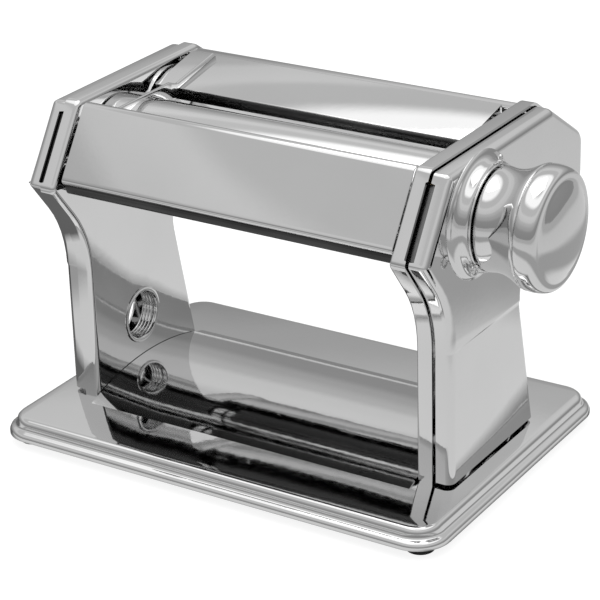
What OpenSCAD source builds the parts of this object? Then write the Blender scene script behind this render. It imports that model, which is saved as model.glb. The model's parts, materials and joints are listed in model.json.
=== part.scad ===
// Hand-cranked pasta roller machine: pressed steel base, two hollow uprights,
// two tubular rollers on geared axes and a thickness dial with an eccentric axle.
// Millimetres. Origin: centre of the base on the worktop. +Z up, the cutter side
// faces -Y, the thickness dial is at +X and the crank socket at -X.

/* [Base] */
// Width of the base, left to right
base_w = 205; // [198:1:220]
// Depth of the base, front to back
base_d = 145; // [140:1:160]
// Corner radius of the base rim
base_r = 14; // [10:1:18]
// Free height of the rubber feet below the rim
foot_drop = 4; // [3:0.5:6]
// Height of the flat platform above the worktop
platform_z = 11.7; // [11:0.1:13]
// Radius of a rubber foot
foot_r = 5.5; // [5:0.1:5.8]

/* [Uprights] */
// Distance from the middle to the inner face of a side frame
frame_x = 76; // [76:0.5:80]
// Distance from the middle to the outer face of a cover
cover_x = 90.8; // [90.8:0.1:95]
// Sheet thickness of the side frames
frame_t = 1.2; // [1:0.1:1.5]
// Sheet thickness of covers, guides and trays
sheet_t = 0.8; // [0.6:0.1:1]
// Height of the head above the worktop
head_z = 142; // [142:1:145]
// How far the covers sit below the edges of the side frames
cover_inset = 1.5; // [1:0.1:2]
// Radius of the table clamp hole in the left upright
clamp_r = 10; // [8:0.5:10]

/* [Rollers] */
// Radius of both rollers
roller_r = 20; // [19.5:0.1:20]
// Half the length of a roller
roller_half = 75.2; // [74:0.1:75.4]
// Gap between the rollers on the finest setting
gap_min = 0.4; // [0.3:0.1:0.6]
// Offset of the eccentric axle
throw = 1.3; // [1:0.1:1.3]
// Front to back place of the thickness dial's axis
dial_y = -14.5; // [-15:0.5:-14]
// Height of the roller axes
axis_z = 118.2; // [117.8:0.1:118.3]

/* [Gears] */
// Module of the deep-toothed roller gears
gear_m = 2.5; // [2.5:0.1:2.5]
// Teeth on each roller gear
gear_teeth = 16; // [16:1:16]
// Width of the roller gears
gear_w = 4.5; // [4:0.5:4.5]

/* [Dial] */
// Outer radius of the dial's rim
dial_r = 24; // [22:0.5:25]
// Distance from the middle to the tip of the dial
dial_tip_x = 129.5; // [128:0.5:131]
// Travel of the dial when it is pulled out
dial_pull = 4; // [3:0.5:4.5]

/* [Hidden] */
$fn = 64;
EPS = 0.02;
RIM_Z = foot_drop;
RUN = 0.05;            // radial running clearance of shafts and pins
FRONT_Y = dial_y + throw;
REAR_Y = FRONT_Y + 2 * roller_r + gap_min;
FRAME_OUT = frame_x + frame_t;
FLANGE_X = 82.3;       // outer edge of a side frame's flange
COVER_EDGE = 83.8;     // inner edge of a cover's flange
COVER_IN = cover_x - sheet_t;
WAIST_Z = 84;
HEAD_FRONT = -57;
HEAD_BACK = 76;
STEEL = [0.80, 0.81, 0.82];
CHROME = [0.86, 0.87, 0.88];
BLACK = [0.06, 0.06, 0.06];

// Side outline as corners [y, z, radius], clockwise from the front foot
OUTLINE = [
    [-36.5, platform_z, 2],
    [-36.5, WAIST_Z, 45],
    [HEAD_FRONT, 110.5, 3],
    [-36.3, head_z, 4],
    [47, head_z, 6],
    [HEAD_BACK, 123, 9],
    [HEAD_BACK, 98, 12],
    [24, 82, 14],
    [24, 68, 30],
    [36.5, platform_z, 2]
];

CLAMP_AT = [-3, 36.6];
COVER_CLAMP_R = clamp_r + 3.5;
RODS = [[-40.5, 107], [53.5, 126.5], [60, 104]];
ROD_R = 2.5;
PLATE_MARGIN = 6;
PLATE_X = 86.4;
HUB_X = 106.8;         // outer end of the dial's hub
PLATE_T = 2;
SCRAPER_RODS = [[-35, 104.5], [46.5, 104.5]];
SCRAPER_ROD_R = 1.5;
FEET = [for (sx = [-1, 1]) for (sy = [-1, 1]) [sx * (base_w / 2 - 11), sy * (base_d / 2 - 11)]];
BASE_SCREWS = [for (sx = [-1, 1]) for (y = [-26, 24]) [sx * 79.9, y]];
BRIDGE_R = 122.7;
BRIDGE_TOP = platform_z + 7.1;
BRIDGE_Y = -1;

// Dial stack along X
BOSS_X = 97;           // face of the fixed boss
BOSS_R = 21;
NECK_X = 98.4;         // back face of the dial
RIM_X = NECK_X + 18.1;  // joint between the dial's shell and its face
SLEEVE_R = 8;
MID_R = 6;             // eccentric part of the axle
JOURNAL_R = 10;        // hollow journal of the front roller
REAR_J = 7;            // journals of the rear roller
GEAR_X = -(79 + gear_w);
PIN_AT = 15.5;         // radius of the index pin about the dial axis
PIN_R = 1.5;
INDEX_ANGLE = 270;
CLIP_WIRE = 0.45;

// ---- outline helpers -------------------------------------------------------

function unit(v) = v / norm(v);
function flat(p) = [p[0], p[1]];
function turn(a, b, c) = (b[0] - a[0]) * (c[1] - b[1]) - (b[1] - a[1]) * (c[0] - b[0]);

// Arc that rounds corner b between a and c, in the given number of steps
function corner(a, b, c, steps = 6) =
    let (
        u = unit(flat(a) - flat(b)),
        v = unit(flat(c) - flat(b)),
        half = acos(u * v) / 2,
        mid = flat(b) + unit(u + v) * b[2] / sin(half),
        from = flat(b) + u * b[2] / tan(half) - mid,
        to = flat(b) + v * b[2] / tan(half) - mid,
        a0 = atan2(from[1], from[0]),
        raw = atan2(to[1], to[0]) - a0,
        sweep = raw > 180 ? raw - 360 : raw < -180 ? raw + 360 : raw
    )
    [for (i = [0:steps]) mid + b[2] * [cos(a0 + sweep * i / steps), sin(a0 + sweep * i / steps)]];

function rounded(pts) =
    let (n = len(pts))
    [for (i = [0:n - 1]) each corner(pts[(i + n - 1) % n], pts[i], pts[(i + 1) % n])];

// Clockwise outline moved inwards by t, with its corner radii kept concentric
function inset(pts, t) =
    let (n = len(pts))
    [for (i = [0:n - 1])
        let (
            a = pts[(i + n - 1) % n],
            b = pts[i],
            c = pts[(i + 1) % n],
            u = unit(flat(a) - flat(b)),
            v = unit(flat(c) - flat(b)),
            out = turn(a, b, c) < 0 ? 1 : -1,
            p = flat(b) + out * unit(u + v) * t / sin(acos(u * v) / 2)
        )
        [p[0], p[1], max(0.3, b[2] - out * t)]];

// Open line thickened to a strip: left side out, right side back
function strip(pts, t) =
    let (
        n = len(pts),
        off = [for (i = [0:n - 1])
            let (
                d0 = i == 0 ? unit(pts[1] - pts[0]) : unit(pts[i] - pts[i - 1]),
                d1 = i == n - 1 ? d0 : unit(pts[i + 1] - pts[i]),
                m = unit([-d0[1] - d1[1], d0[0] + d1[0]])
            )
            pts[i] + m * t / max(0.3, m * [-d0[1], d0[0]])]
    )
    concat(pts, [for (i = [n - 1:-1:0]) off[i]]);

// Corner list of an open line with its inner corners rounded
function bent(pts) =
    let (n = len(pts))
    concat(
        [flat(pts[0])],
        [for (i = [1:n - 2]) each corner(pts[i - 1], pts[i], pts[i + 1], 4)],
        [flat(pts[n - 1])]
    );

// Outline in Y and Z drawn out along X
module prism(pts, x0, x1) {
    translate([x0, 0, 0])
        rotate([90, 0, 90])
            linear_extrude(x1 - x0) polygon(pts);
}

// Round bar along X
module bar(at, r, x0, x1) {
    translate([x0, at[0], at[1]])
        rotate([0, 90, 0]) cylinder(h = x1 - x0, r = r);
}

module ring(at, r_out, r_in, x0, x1) {
    difference() {
        bar(at, r_out, x0, x1);
        bar(at, r_in, x0 - 1, x1 + 1);
    }
}

// Hexagonal nut or bar along X
module hex_bar(at, r, x0, x1) {
    translate([x0, at[0], at[1]])
        rotate([0, 90, 0]) cylinder(h = x1 - x0, r = r, $fn = 6);
}

module rounded_rect(w, d, r) {
    square([w - 2 * r, d], center = true);
    square([w, d - 2 * r], center = true);
    for (sx = [-1, 1])
        for (sy = [-1, 1])
            translate([sx * (w / 2 - r), sy * (d / 2 - r)]) circle(r);
}

module side(s) {
    mirror([s < 0 ? 1 : 0, 0, 0]) children();
}

// ---- base ------------------------------------------------------------------

// Stepped rim: each row is [inset from the edge, bottom, top]
RIM = [
    [0, RIM_Z, RIM_Z + 3.4],
    [2.4, RIM_Z + 3.4 - EPS, RIM_Z + 5.8],
    [5.3, RIM_Z + 5.8 - EPS, platform_z]
];

module rim_solid(cut, drop) {
    for (s = RIM)
        translate([0, 0, s[1] - drop])
            linear_extrude(s[2] - s[1])
                rounded_rect(base_w - 2 * (s[0] + cut), base_d - 2 * (s[0] + cut), base_r - s[0] - cut);
}

module base_plate() {
    color(CHROME)
        difference() {
            rim_solid(0, 0);
            rim_solid(1, 1);
            for (p = BASE_SCREWS)
                translate([p[0], p[1], 0]) cylinder(h = 20, r = 1.6);
        }
}

module bridge_cover() {
    color(CHROME)
        intersection() {
            ring([BRIDGE_Y, BRIDGE_TOP - BRIDGE_R], BRIDGE_R, BRIDGE_R - sheet_t, 0.3 - frame_x, frame_x - 0.3, $fn = 180);
            translate([-frame_x, -60, platform_z]) cube([2 * frame_x, 120, 20]);
        }
}

module rubber_feet() {
    color(BLACK)
        for (p = FEET)
            translate([p[0], p[1], 0])
                difference() {
                    union() {
                        cylinder(h = foot_drop + 2, r = foot_r);
                        cylinder(h = platform_z - 1, r = 2.8);
                    }
                    translate([0, 0, foot_drop]) cylinder(h = 20, r = 1.5);
                }
}

module foot_studs() {
    color(STEEL)
        for (p = FEET)
            translate([p[0], p[1], foot_drop]) cylinder(h = platform_z - 1 - foot_drop, r = 1.5);
}

module base_screws() {
    color(STEEL)
        for (p = BASE_SCREWS)
            translate([p[0], p[1], platform_z - 1]) {
                translate([0, 0, -1.6]) cylinder(h = 1.6, r = 3);
                translate([0, 0, -EPS]) cylinder(h = 6, r = 1.5);
            }
}

module base_nuts() {
    color(STEEL)
        for (p = BASE_SCREWS)
            translate([p[0], p[1], platform_z + frame_t])
                difference() {
                    cylinder(h = 2.4, r = 2.5, $fn = 6);
                    translate([0, 0, -1]) cylinder(h = 5, r = 1.5);
                }
}

// ---- side frames and covers ------------------------------------------------

// Direction along the slanted front edge, from its foot upwards
SLANT = unit([-36.3 - HEAD_FRONT, head_z - 110.5]);
function slant_at(s, depth) = [HEAD_FRONT, 110.5] + SLANT * s + [SLANT[1], -SLANT[0]] * depth;

// Strip along the slanted front edge where the frame's flange is cut back
module slant_cut(x0, x1) {
    prism([slant_at(3, -3), slant_at(33, -3), slant_at(33, 3.2), slant_at(3, 3.2)], x0, x1);
}

module side_frame(left) {
    color(CHROME)
        side(left ? -1 : 1)
            difference() {
                prism(rounded(OUTLINE), frame_x, FLANGE_X);
                prism(rounded(inset(OUTLINE, frame_t)), FRAME_OUT, FLANGE_X + 1);
                slant_cut(80.7, FLANGE_X + 1);
                for (p = RODS) bar(p, ROD_R, frame_x - 1, FRAME_OUT + 1);
                for (p = SCRAPER_RODS) bar(p, SCRAPER_ROD_R, frame_x - 1, FRAME_OUT + 1);
                bar([REAR_Y, axis_z], REAR_J + 2.5, frame_x - 1, FRAME_OUT + 1);
                bar([dial_y, axis_z], left ? JOURNAL_R + throw + 0.7 : 9.5, frame_x - 1, FRAME_OUT + 1);
                if (left) bar(CLAMP_AT, clamp_r + 1, frame_x - 1, FRAME_OUT + 1);
                for (p = BASE_SCREWS)
                    if (p[0] > 0) translate([p[0], p[1], 0]) cylinder(h = 20, r = 1.6);
            }
}

module left_side_frame() { side_frame(true); }

module right_side_frame() { side_frame(false); }

module side_cover(left) {
    outer = inset(OUTLINE, cover_inset);
    color(CHROME)
        side(left ? -1 : 1)
            difference() {
                prism(rounded(outer), COVER_EDGE, cover_x);
                prism(rounded(inset(outer, sheet_t)), COVER_EDGE - 1, COVER_IN);
                slant_cut(COVER_EDGE - 1, 84.6);
                if (left) {
                    bar(CLAMP_AT, COVER_CLAMP_R, COVER_IN - 1, cover_x + 1);
                    bar([REAR_Y, axis_z], 9, COVER_IN - 1, cover_x + 1);
                } else {
                    bar([dial_y, axis_z], 10, COVER_IN - 1, cover_x + 1);
                    for (a = BOSS_SCREWS) bar(polar(a, BOSS_SCREW_R), 1.5, COVER_IN - 1, cover_x + 1);
                }
            }
}

module left_cover() { side_cover(true); }

module right_cover() { side_cover(false); }

// Each clip is a foot on the side frame and a tongue under the cover's flange:
// [y, z, direction of the tongue's outward normal in degrees]
CLIP_AT = cover_inset + sheet_t + 0.6;
CLIPS = [
    [7, head_z - CLIP_AT, 90],
    [66.4, 125.8, 56.7],
    [-36.5 + CLIP_AT, 45, 180],
    [HEAD_BACK - CLIP_AT, 112.5, 0]
];

module cover_clips(left) {
    color(STEEL)
        side(left ? -1 : 1)
            for (c = CLIPS)
                translate([0, c[0], c[1]])
                    rotate([c[2], 0, 0]) {
                        translate([FRAME_OUT, -0.6, -5]) cube([COVER_IN - FRAME_OUT, 1.2, 10]);
                        translate([FRAME_OUT, -6, -5]) cube([1.2, 6, 10]);
                    }
}

module left_cover_clips() { cover_clips(true); }

module right_cover_clips() { cover_clips(false); }

// Channels behind the slanted gaps, into which a cutter head slides
module slant_box(x0, x1, depth0, depth1) {
    prism([slant_at(3.4, depth0), slant_at(32.6, depth0), slant_at(32.6, depth1), slant_at(3.4, depth1)], x0, x1);
}

module cutter_rails() {
    color(BLACK)
        for (s = [-1, 1])
            side(s) {
                slant_box(79.7, 80.7, frame_t + 0.05, 4.6);
                slant_box(80.7 - EPS, 84.6 + EPS, 3.8, 4.6);
                slant_box(84.6, 85.6, cover_inset + sheet_t + 0.1, 4.6);
            }
}

module clamp_eyelets() {
    color(CHROME)
        side(-1) {
            ring(CLAMP_AT, clamp_r + 1, clamp_r + 0.4, frame_x - 0.5, frame_x + 7);
            for (x = [frame_x - 0.5, frame_x + 1.6, frame_x + 3.6, frame_x + 5.6])
                ring(CLAMP_AT, clamp_r + 0.6, clamp_r, x, x + 1.2);
            ring(CLAMP_AT, clamp_r + 2.2, clamp_r + 1, FRAME_OUT, FRAME_OUT + 1);
            ring(CLAMP_AT, clamp_r + 2.2, clamp_r + 1, frame_x - 0.5, frame_x);
        }
}

// ---- head ------------------------------------------------------------------

COVER_HALF = 72.6;

module front_cover() {
    line = bent([
        [-34.6, 139.4, 0], [-36.3, 142, 1.3], [-53.2, 116.3, 3], [-54.2, 114.7, 1], [-52.4, 113.8, 0]
    ]);
    color(CHROME) {
        prism(strip(line, sheet_t), -COVER_HALF, COVER_HALF);
        for (s = [-1, 1])
            side(s)
                prism(
                    [slant_at(12, 0.7), slant_at(26, 0.7), slant_at(26, 1.5), slant_at(12, 1.5)],
                    COVER_HALF - 4, frame_x
                );
    }
}

// Folded strip that closes the head below the front cover, with end tabs on the frames
module front_under_strip() {
    line = bent([[-46.5, 117.5, 0], [-51.8, 112.4, 1.5], [-51.2, 109.5, 1.2], [-45.5, 109.2, 1.2], [-44.2, 112, 0]]);
    color(BLACK) {
        prism(strip(line, sheet_t), -COVER_HALF, COVER_HALF);
        for (s = [-1, 1])
            side(s)
                translate([COVER_HALF - 4, -49.6, 109.9]) cube([frame_x - COVER_HALF + 4, 3.6, 1.2]);
    }
}

module rear_cover() {
    line = bent([
        [39.6, 140.7, 0], [46.5, 140.7, 5], [74.6, 122.3, 8], [74.6, 99, 11], [40, 88.4, 0]
    ]);
    color(CHROME) {
        prism(strip(line, -sheet_t), -COVER_HALF, COVER_HALF);
        for (s = [-1, 1])
            side(s)
                for (z = [102, 112])
                    translate([COVER_HALF - EPS, 72.6, z]) cube([frame_x - COVER_HALF + EPS, 1.2, 6]);
    }
}

module rear_guide() {
    line = bent([[11, 131.6, 0], [10, 136.2, 1], [38.4, 142.3, 1], [39.6, 140.7 - sheet_t - 3, 0]]);
    color(CHROME) {
        prism(strip(line, -sheet_t), -COVER_HALF, COVER_HALF);
        for (s = [-1, 1])
            side(s)
                translate([COVER_HALF - EPS, 36.6, 139.4]) cube([frame_x - COVER_HALF + EPS, 1.6, 1.6]);
    }
}

module dough_guide() {
    color(CHROME)
        difference() {
            prism([
                [-33.4, 136.6], [-31, 140.2], [5, 140.2], [36, 143.6], [37, 142.02],
                [10.2, 136.26], [8.6, 134], [5.5, 128], [-33, 128]
            ], -61.6, -60.4);
            for (y = [FRONT_Y, FRONT_Y - throw, FRONT_Y - 2 * throw])
                bar([y, axis_z], roller_r + 0.6, -70, -50);
            bar([REAR_Y, axis_z], roller_r + 0.6, -70, -50);
        }
}

module tie_rods() {
    color(STEEL)
        for (p = RODS) bar(p, ROD_R, -PLATE_X - PLATE_T - 1.2, FRAME_OUT + 3.6);
}

module rod_nuts() {
    color(STEEL)
        for (p = RODS) {
            difference() {
                hex_bar(p, 4.6, FRAME_OUT, FRAME_OUT + 3);
                bar(p, ROD_R, FRAME_OUT - 1, FRAME_OUT + 4);
            }
            difference() {
                hex_bar(p, 4.6, -PLATE_X - PLATE_T - 1.2, -PLATE_X - PLATE_T);
                bar(p, ROD_R, -PLATE_X - PLATE_T - 3, -PLATE_X - PLATE_T + 1);
            }
        }
}

module rod_spacers() {
    color(STEEL)
        for (p = RODS) ring(p, 3.7, ROD_R, -PLATE_X, -FRAME_OUT);
}

// Plate outside the gears that carries the left ends of the axle and rear roller
module left_bearing_plate() {
    corners = [concat(RODS[0], 0), [-24, 126, 0], concat(RODS[1], 0), concat(RODS[2], 0)];
    color(STEEL)
        difference() {
            prism(rounded(inset(corners, -PLATE_MARGIN)), -PLATE_X - PLATE_T, -PLATE_X);
            for (p = RODS) bar(p, ROD_R, -95, -80);
            bar([dial_y, axis_z], 4 + RUN, -95, -80);
            bar([REAR_Y, axis_z], REAR_J + RUN, -95, -80);
        }
}

module rear_roller_bushes() {
    color([0.72, 0.55, 0.25])
        for (s = [-1, 1])
            side(s) {
                ring([REAR_Y, axis_z], REAR_J + 2.5, REAR_J + RUN, frame_x, FRAME_OUT + EPS);
                ring([REAR_Y, axis_z], REAR_J + 4, REAR_J + RUN, FRAME_OUT, FRAME_OUT + 1.4);
            }
}

module axle_bush() {
    color([0.72, 0.55, 0.25]) {
        ring([dial_y, axis_z], 9.5, 7.5 + RUN, frame_x, FRAME_OUT + EPS);
        ring([dial_y, axis_z], 12, 7.5 + RUN, FRAME_OUT, FRAME_OUT + 4);
    }
}

// Blade that reaches under a roller from the sleeve round its rod
// Sheet hung on its rod, passing under the roller to a lip beside the nip
module scraper(corners, rod) {
    prism(strip(bent(corners), 0.6), -70, 70);
    ring(rod, SCRAPER_ROD_R + 0.7, SCRAPER_ROD_R, -70, 70);
}

module front_scraper() {
    color(STEEL)
        scraper([
            [-34.6, 102.6, 0], [-33.6, 100.5, 1], [-28, 98, 2], [-20, 95.6, 3], [-5, 95.6, 3], [-1.6, 100.2, 0]
        ], SCRAPER_RODS[0]);
}

module rear_scraper() {
    color(STEEL)
        scraper([[46.1, 102.6, 0], [45.3, 99.4, 2], [38, 96.6, 3], [18, 96.6, 3], [14.8, 101, 0]], SCRAPER_RODS[1]);
}

module scraper_rods() {
    color(STEEL)
        for (p = SCRAPER_RODS) bar(p, SCRAPER_ROD_R, -FRAME_OUT, FRAME_OUT);
}

// ---- dial boss -------------------------------------------------------------

BOSS_SCREWS = [100, 220, 340];
BOSS_SCREW_R = 15;
function polar(a, r) = [dial_y + r * cos(a), axis_z + r * sin(a)];

// Solid of revolution about the dial axis: rows are [radius, x]
module turned(pts) {
    translate([0, dial_y, axis_z])
        rotate([0, 90, 0]) rotate_extrude($fn = 96) polygon(pts);
}

module dial_boss() {
    color(CHROME)
        difference() {
            turned([
                [11, cover_x], [25, cover_x], [25, cover_x + 0.6], [23.4, cover_x + 1.2], [22.2, cover_x + 2.4],
                [BOSS_R + 0.4, cover_x + 4], [BOSS_R, BOSS_X - 0.6], [BOSS_R - 0.8, BOSS_X], [11, BOSS_X]
            ]);
            turned([
                [12, cover_x - 1], [21.4, cover_x - 1], [20.6, cover_x + 2.4], [19.6, BOSS_X - 1.2], [12, BOSS_X - 1.2]
            ]);
            for (a = BOSS_SCREWS) bar(polar(a, BOSS_SCREW_R), 1.5, BOSS_X - 3, BOSS_X + 1);
            bar(polar(INDEX_ANGLE, PIN_AT), PIN_R, BOSS_X - 3, BOSS_X + 1);
        }
}

// Index pin riveted in the boss: its tip rides in the groove behind the dial
module index_pin() {
    color(CHROME) {
        bar(polar(INDEX_ANGLE, PIN_AT), PIN_R, BOSS_X - 3, NECK_X + 5.2);
        bar(polar(INDEX_ANGLE, PIN_AT), PIN_R + 1.1, BOSS_X - 2.6, BOSS_X - 1.2);
    }
}

// Spring wire ring in the gap between boss and dial, with an eye below and beads on top
module dial_clip() {
    eye = polar(223, 22);
    color(CHROME) {
        translate([BOSS_X + CLIP_WIRE, dial_y, axis_z])
            rotate([0, 90, 0]) rotate_extrude($fn = 96) translate([20.2, 0]) circle(CLIP_WIRE, $fn = 16);
        translate([BOSS_X + CLIP_WIRE, eye[0], eye[1]])
            rotate([0, 90, 0]) rotate_extrude($fn = 48) translate([2.1, 0]) circle(CLIP_WIRE, $fn = 16);
        for (r = [21.2, 23]) {
            at = polar(80, r);
            translate([BOSS_X + CLIP_WIRE, at[0], at[1]]) sphere(1.1, $fn = 32);
        }
    }
}

module boss_screws() {
    color(STEEL)
        for (a = BOSS_SCREWS) {
            bar(polar(a, BOSS_SCREW_R), 1.5, COVER_IN - 2, BOSS_X);
            bar(polar(a, BOSS_SCREW_R), 3, COVER_IN - 2, COVER_IN);
        }
}

// ---- rear roller -----------------------------------------------------------

module roller_tube(at) {
    ring(at, roller_r, roller_r - 2.5, -roller_half, roller_half);
}

module rear_roller() {
    color(CHROME) roller_tube([REAR_Y, axis_z]);
}

module rear_roller_ends() {
    at = [REAR_Y, axis_z];
    color(STEEL)
        difference() {
            union() {
                bar(at, roller_r - 2.5, -roller_half + 0.3, -roller_half + 14);
                bar(at, roller_r - 2.5, roller_half - 14, roller_half - 0.3);
                bar(at, REAR_J, -89.6, -roller_half + 1);
                bar(at, REAR_J, roller_half - 1, 83);
            }
            bar(at, 4.1, -90, -67.6);
            translate([-90, REAR_Y - 1.3, axis_z - REAR_J - 1]) cube([4, 2.6, 2 * REAR_J + 2]);
        }
}

// Involute gear outline, flank by flank, about its own centre
PITCH_R = gear_m * gear_teeth / 2;
TOOTH_THINNING = 1.45;   // degrees off each flank: the teeth stay clear over the whole throw
GEAR_BASE_R = PITCH_R * cos(20);
GEAR_TIP_R = PITCH_R + 2.2;
GEAR_ROOT_R = PITCH_R - 3.1;
function involute(r) = tan(acos(GEAR_BASE_R / r)) * 180 / PI - acos(GEAR_BASE_R / r);
function flank(side, steps = 5) =
    let (
        half = 90 / gear_teeth - TOOTH_THINNING,
        lo = max(GEAR_BASE_R, GEAR_ROOT_R) + 0.01
    )
    concat(
        [[GEAR_ROOT_R, half + involute(PITCH_R)]],
        [for (i = [0:steps]) let (r = lo + (GEAR_TIP_R - lo) * i / steps) [r, half + involute(PITCH_R) - involute(r)]]
    );
function gear_points(phase) =
    let (f = flank(1), n = len(f))
    [for (k = [0:gear_teeth - 1])
        let (a = phase + 360 * k / gear_teeth)
        each concat(
            [for (i = [0:n - 1]) f[i][0] * [cos(a - f[i][1]), sin(a - f[i][1])]],
            [for (i = [n - 1:-1:0]) f[i][0] * [cos(a + f[i][1]), sin(a + f[i][1])]]
        )];

module gear(at, bore, phase) {
    difference() {
        translate([0, at[0], at[1]]) prism(gear_points(phase), GEAR_X, GEAR_X + gear_w);
        bar(at, bore, GEAR_X - 1, GEAR_X + gear_w + 1);
    }
}

module rear_gear() {
    color([0.55, 0.55, 0.57]) gear([REAR_Y, axis_z], REAR_J, 180 / gear_teeth);
}

// ---- front roller on its eccentric axle ------------------------------------

module front_roller() {
    color(CHROME) roller_tube([FRONT_Y, axis_z]);
}

module front_roller_ends() {
    at = [FRONT_Y, axis_z];
    color(STEEL)
        difference() {
            union() {
                bar(at, roller_r - 2.5, -roller_half + 0.3, -roller_half + 14);
                bar(at, roller_r - 2.5, roller_half - 14, roller_half - 0.3);
                bar(at, JOURNAL_R, GEAR_X - 0.2, -roller_half + 1);
            }
            bar(at, SLEEVE_R + RUN, -95, 95);
        }
}

module front_gear() {
    color([0.55, 0.55, 0.57]) gear([FRONT_Y, axis_z], JOURNAL_R, 0);
}

module roller_sleeves() {
    color([0.72, 0.55, 0.25]) {
        ring([FRONT_Y, axis_z], SLEEVE_R, MID_R + RUN, -84.4, -roller_half + 12);
        ring([FRONT_Y, axis_z], SLEEVE_R, MID_R + RUN, roller_half - 12, roller_half - 0.4);
    }
}

module eccentric_axle() {
    color(STEEL) {
        bar([dial_y, axis_z], 4, -PLATE_X - PLATE_T - 1, -85);
        bar([FRONT_Y, axis_z], MID_R, -85.6, 75.6);
        difference() {
            union() {
                bar([dial_y, axis_z], 7.5, 75.5, 92);
                hex_bar([dial_y, axis_z], 6, 91.9, 104.6);
            }
            bar([dial_y, axis_z], 2, 96, 110);
        }
    }
}

module dial_screw() {
    color(STEEL) {
        bar([dial_y, axis_z], 2, 96.5, 115.5);
        bar([dial_y, axis_z], 7, 115, 116.4);
    }
}

// Flat-wire compression spring between the screw's head and the dial's hub
module dial_spring() {
    turns = 4;
    color(STEEL)
        translate([HUB_X, dial_y, axis_z])
            rotate([0, 90, 0])
                linear_extrude(115 - HUB_X, twist = 360 * turns, slices = 12 * turns, segments = 6)
                    polygon([
                        5.4 * [cos(0), sin(0)], 5.4 * [cos(75), sin(75)], 5.4 * [cos(150), sin(150)],
                        4.2 * [cos(150), sin(150)], 4.2 * [cos(75), sin(75)], 4.2 * [cos(0), sin(0)]
                    ]);
}

// ---- dial ------------------------------------------------------------------

// Pressed shell: neck, shallow waist and flare up to the rim
module dial_shell() {
    color(CHROME)
        difference() {
            turned([
                [17, NECK_X], [19.3, NECK_X], [20.1, NECK_X + 0.8], [19.8, NECK_X + 3],
                [19.7, NECK_X + 6], [20.2, NECK_X + 9], [21.3, NECK_X + 12], [22.6, NECK_X + 14.6],
                [dial_r - 0.5, NECK_X + 16.4], [dial_r, NECK_X + 17.8], [dial_r, RIM_X], [17, RIM_X]
            ]);
            turned([
                [0, NECK_X - 1], [18.4, NECK_X - 1], [18.4, NECK_X + 7.2], [19.2, NECK_X + 9.6],
                [20.4, NECK_X + 12.6], [21.8, NECK_X + 15.2], [dial_r - 1, NECK_X + 17],
                [dial_r - 1, RIM_X + 1], [0, RIM_X + 1]
            ]);
        }
}

// Deep hollow cap: rounded bead, shallow valley and domed middle
module dial_face() {
    color(CHROME)
        difference() {
            turned([
                [0, RIM_X - 0.6], [dial_r - 1.02, RIM_X - 0.6], [dial_r - 1.02, RIM_X], [dial_r, RIM_X],
                [dial_r, RIM_X + 3], [dial_r - 0.4, RIM_X + 6], [dial_r - 1.1, RIM_X + 7.7],
                [dial_r - 2.1, RIM_X + 8.5], [dial_r - 3.3, RIM_X + 8.7], [20, RIM_X + 8.5],
                [17, RIM_X + 9.8], [14, RIM_X + 11], [10, dial_tip_x - 0.8], [5, dial_tip_x - 0.2], [0, dial_tip_x]
            ]);
            turned([
                [0, RIM_X - 2], [21.8, RIM_X - 2], [21.8, RIM_X + 6.6], [19.6, RIM_X + 7.3],
                [16.5, RIM_X + 8.5], [13.5, RIM_X + 9.8], [9.5, dial_tip_x - 2.1], [0, dial_tip_x - 1.3]
            ]);
        }
}

// Hub with the hexagonal socket that turns the axle, and the web that carries the
// groove and the pockets for the index pin
module dial_hub() {
    at = [dial_y, axis_z];
    color(STEEL)
        difference() {
            union() {
                bar(at, 9, NECK_X + 0.8, HUB_X);
                bar(at, 18.38, NECK_X + 3.4, NECK_X + 7.2);
            }
            hex_bar(at, 6.1, NECK_X, 105);
            bar(at, 2.2, NECK_X, HUB_X + 1);
            ring(at, PIN_AT + PIN_R + 0.5, PIN_AT - PIN_R - 0.5, NECK_X + 3, NECK_X + 5.8);
            for (i = [0:8]) bar(polar(INDEX_ANGLE + 20 * i, PIN_AT), PIN_R + 0.1, NECK_X + 5, NECK_X + 6.6);
        }
}

// ---- nodes -----------------------------------------------------------------

base_plate();
bridge_cover();
rubber_feet();
foot_studs();
base_screws();
base_nuts();
left_side_frame();
right_side_frame();
left_cover();
right_cover();
left_cover_clips();
right_cover_clips();
cutter_rails();
clamp_eyelets();
front_cover();
front_under_strip();
rear_cover();
rear_guide();
dough_guide();
tie_rods();
rod_nuts();
rod_spacers();
left_bearing_plate();
rear_roller_bushes();
axle_bush();
front_scraper();
rear_scraper();
scraper_rods();
dial_boss();
index_pin();
boss_screws();
dial_clip();
rear_roller();
rear_roller_ends();
rear_gear();
front_roller();
front_roller_ends();
front_gear();
roller_sleeves();
eccentric_axle();
dial_screw();
dial_spring();
dial_shell();
dial_face();
dial_hub();
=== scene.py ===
import json
import math

import bmesh
import bpy
from mathutils import Matrix, Vector


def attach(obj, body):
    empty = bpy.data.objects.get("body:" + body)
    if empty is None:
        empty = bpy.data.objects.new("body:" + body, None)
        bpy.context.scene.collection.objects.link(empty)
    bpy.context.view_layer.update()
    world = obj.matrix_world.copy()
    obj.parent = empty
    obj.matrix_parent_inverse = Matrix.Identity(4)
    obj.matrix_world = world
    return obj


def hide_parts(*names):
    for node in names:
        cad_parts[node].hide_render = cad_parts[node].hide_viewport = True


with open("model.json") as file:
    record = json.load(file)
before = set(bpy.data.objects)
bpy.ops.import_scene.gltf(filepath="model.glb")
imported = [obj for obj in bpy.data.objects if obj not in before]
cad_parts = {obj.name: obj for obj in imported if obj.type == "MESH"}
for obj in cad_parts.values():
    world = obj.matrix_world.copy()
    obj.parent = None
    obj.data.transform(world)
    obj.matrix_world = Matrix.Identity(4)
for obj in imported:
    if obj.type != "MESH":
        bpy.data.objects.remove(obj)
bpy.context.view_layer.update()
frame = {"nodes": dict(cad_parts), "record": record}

MM = 0.001
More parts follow.
